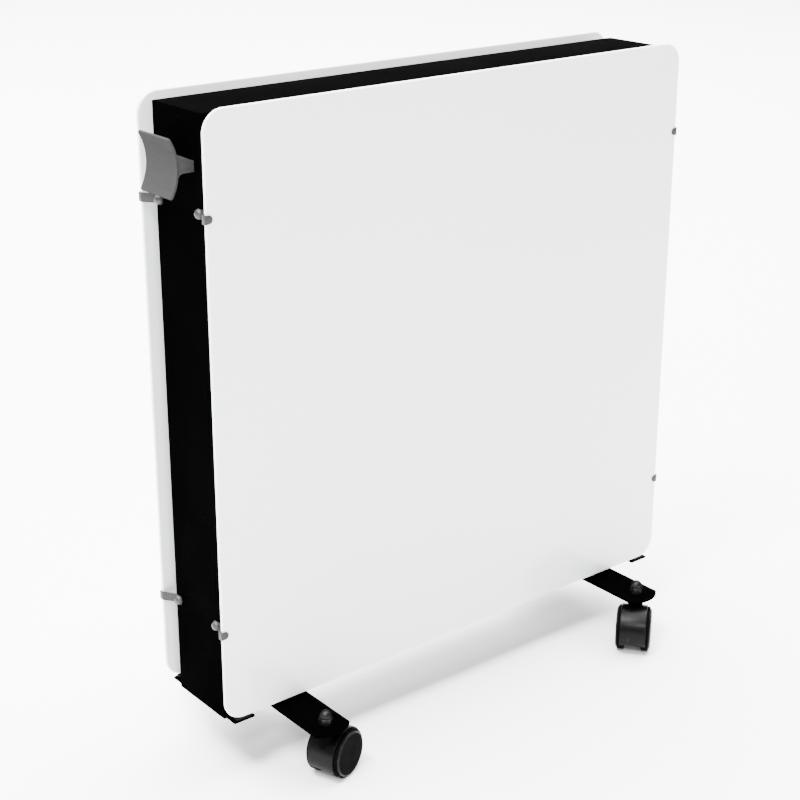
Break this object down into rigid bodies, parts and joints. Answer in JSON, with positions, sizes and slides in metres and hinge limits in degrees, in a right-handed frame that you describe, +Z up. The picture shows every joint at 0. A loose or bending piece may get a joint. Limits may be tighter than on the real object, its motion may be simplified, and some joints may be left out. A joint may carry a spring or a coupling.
{
  "type": "panel heater",
  "caption": "Double-sided white glass panel heater: flat black casing between square panels, clips, cord-wrap bracket, foot bars and swivelling twin-wheel castors.",
  "frame": {"origin": "on the floor, under the middle of the casing", "axes": "+Z up, +X to the right along the panels, front panel towards -Y"},
  "size_m": [0.628, 0.2942, 0.667],
  "materials": {
    "white_glass": "gloss",
    "film": "satin",
    "inner_plastic": "matte",
    "cutout_metal": "satin",
    "insulation": "matte",
    "black_steel": "satin",
    "clip_steel": "satin",
    "bracket_steel": "brushed",
    "zinc_steel": "gloss",
    "black_nut": "gloss",
    "castor_plastic": "satin",
    "wheel_plastic": "satin",
    "gland_plastic": "matte",
    "switch_plastic": "gloss",
    "black_rubber": "matte",
    "lead_sleeve": "matte"
  },
  "bodies": {
    "frame": {"casing_bottom": "black_steel", "casing_cover_front": "black_steel", "casing_cover_rear": "black_steel", "casing_left_end": "black_steel", "casing_right_end": "black_steel", "casing_top": "black_steel", "castor_dome_nuts": "black_nut", "castor_stems": "zinc_steel", "clip_nuts": "zinc_steel", "clip_screws": "zinc_steel", "cord_bracket": "bracket_steel", "film_terminals": "inner_plastic", "foot_bar_left": "black_steel", "foot_bar_nuts": "zinc_steel", "foot_bar_right": "black_steel", "foot_bar_screws": "zinc_steel", "glass_panel_front": "white_glass", "glass_panel_rear": "white_glass", "heating_film_front": "film", "heating_film_rear": "film", "inlet_gland": "gland_plastic", "inlet_gland_cap": "gland_plastic", "inlet_gland_nut": "gland_plastic", "inner_leads": "lead_sleeve", "insulation_board_front": "insulation", "insulation_board_rear": "insulation", "lead_grommets": "black_rubber", "panel_clip_left_front_lower": "clip_steel", "panel_clip_left_front_upper": "clip_steel", "panel_clip_left_rear_lower": "clip_steel", "panel_clip_left_rear_upper": "clip_steel", "panel_clip_right_front_lower": "clip_steel", "panel_clip_right_front_upper": "clip_steel", "panel_clip_right_rear_lower": "clip_steel", "panel_clip_right_rear_upper": "clip_steel", "rest_pads": "black_rubber", "rest_strip_left": "black_steel", "rest_strip_right": "black_steel", "switch_housing": "switch_plastic", "terminal_block": "inner_plastic", "thermal_cutouts": "cutout_metal", "tilt_switch": "inner_plastic"},
    "castor_front_left_swivel": {"castor_front_left_hood": "castor_plastic", "castor_front_left_axle": "zinc_steel"},
    "castor_front_left_wheel_left": {"castor_front_left_wheel_left": "wheel_plastic"},
    "castor_front_left_wheel_right": {"castor_front_left_wheel_right": "wheel_plastic"},
    "castor_front_right_swivel": {"castor_front_right_hood": "castor_plastic", "castor_front_right_axle": "zinc_steel"},
    "castor_front_right_wheel_left": {"castor_front_right_wheel_left": "wheel_plastic"},
    "castor_front_right_wheel_right": {"castor_front_right_wheel_right": "wheel_plastic"},
    "castor_rear_left_swivel": {"castor_rear_left_hood": "castor_plastic", "castor_rear_left_axle": "zinc_steel"},
    "castor_rear_left_wheel_left": {"castor_rear_left_wheel_left": "wheel_plastic"},
    "castor_rear_left_wheel_right": {"castor_rear_left_wheel_right": "wheel_plastic"},
    "castor_rear_right_swivel": {"castor_rear_right_hood": "castor_plastic", "castor_rear_right_axle": "zinc_steel"},
    "castor_rear_right_wheel_left": {"castor_rear_right_wheel_left": "wheel_plastic"},
    "castor_rear_right_wheel_right": {"castor_rear_right_wheel_right": "wheel_plastic"},
    "rocker": {"switch_rocker": "switch_plastic"}
  },
  "joints": [
    {"name": "castor_front_left_swivel", "type": "hinge", "parent": "frame", "child": "castor_front_left_swivel", "pos_m": [-0.2187, -0.1085, 0.045], "axis": [0, 0, 1], "continuous": true},
    {"name": "castor_front_left_wheel_left_spin", "type": "hinge", "parent": "castor_front_left_swivel", "child": "castor_front_left_wheel_left", "pos_m": [-0.1999, -0.11629, 0.025], "axis": [-0.342, 0.9397, 0], "continuous": true},
    {"name": "castor_front_left_wheel_right_spin", "type": "hinge", "parent": "castor_front_left_swivel", "child": "castor_front_left_wheel_right", "pos_m": [-0.20931, -0.09045, 0.025], "axis": [-0.342, 0.9397, 0], "continuous": true},
    {"name": "castor_front_right_swivel", "type": "hinge", "parent": "frame", "child": "castor_front_right_swivel", "pos_m": [0.2187, -0.1085, 0.045], "axis": [0, 0, 1], "continuous": true},
    {"name": "castor_front_right_wheel_left_spin", "type": "hinge", "parent": "castor_front_right_swivel", "child": "castor_front_right_wheel_left", "pos_m": [0.19837, -0.10761, 0.025], "axis": [0.6428, -0.766, 0], "continuous": true},
    {"name": "castor_front_right_wheel_right_spin", "type": "hinge", "parent": "castor_front_right_swivel", "child": "castor_front_right_wheel_right", "pos_m": [0.21605, -0.12868, 0.025], "axis": [0.6428, -0.766, 0], "continuous": true},
    {"name": "castor_rear_left_swivel", "type": "hinge", "parent": "frame", "child": "castor_rear_left_swivel", "pos_m": [-0.2187, 0.1085, 0.045], "axis": [0, 0, 1], "continuous": true},
    {"name": "castor_rear_left_wheel_left_spin", "type": "hinge", "parent": "castor_rear_left_swivel", "child": "castor_rear_left_wheel_left", "pos_m": [-0.20931, 0.09045, 0.025], "axis": [0.342, 0.9397, 0], "continuous": true},
    {"name": "castor_rear_left_wheel_right_spin", "type": "hinge", "parent": "castor_rear_left_swivel", "child": "castor_rear_left_wheel_right", "pos_m": [-0.1999, 0.11629, 0.025], "axis": [0.342, 0.9397, 0], "continuous": true},
    {"name": "castor_rear_right_swivel", "type": "hinge", "parent": "frame", "child": "castor_rear_right_swivel", "pos_m": [0.2187, 0.1085, 0.045], "axis": [0, 0, 1], "continuous": true},
    {"name": "castor_rear_right_wheel_left_spin", "type": "hinge", "parent": "castor_rear_right_swivel", "child": "castor_rear_right_wheel_left", "pos_m": [0.21605, 0.12868, 0.025], "axis": [-0.6428, -0.766, 0], "continuous": true},
    {"name": "castor_rear_right_wheel_right_spin", "type": "hinge", "parent": "castor_rear_right_swivel", "child": "castor_rear_right_wheel_right", "pos_m": [0.19837, 0.10761, 0.025], "axis": [-0.6428, -0.766, 0], "continuous": true},
    {"name": "switch_rocker_tilt", "type": "hinge", "parent": "frame", "child": "rocker", "pos_m": [0.2864, 0, 0.1715], "axis": [0, 1, 0], "range_deg": [-20, 0]}
  ]
}
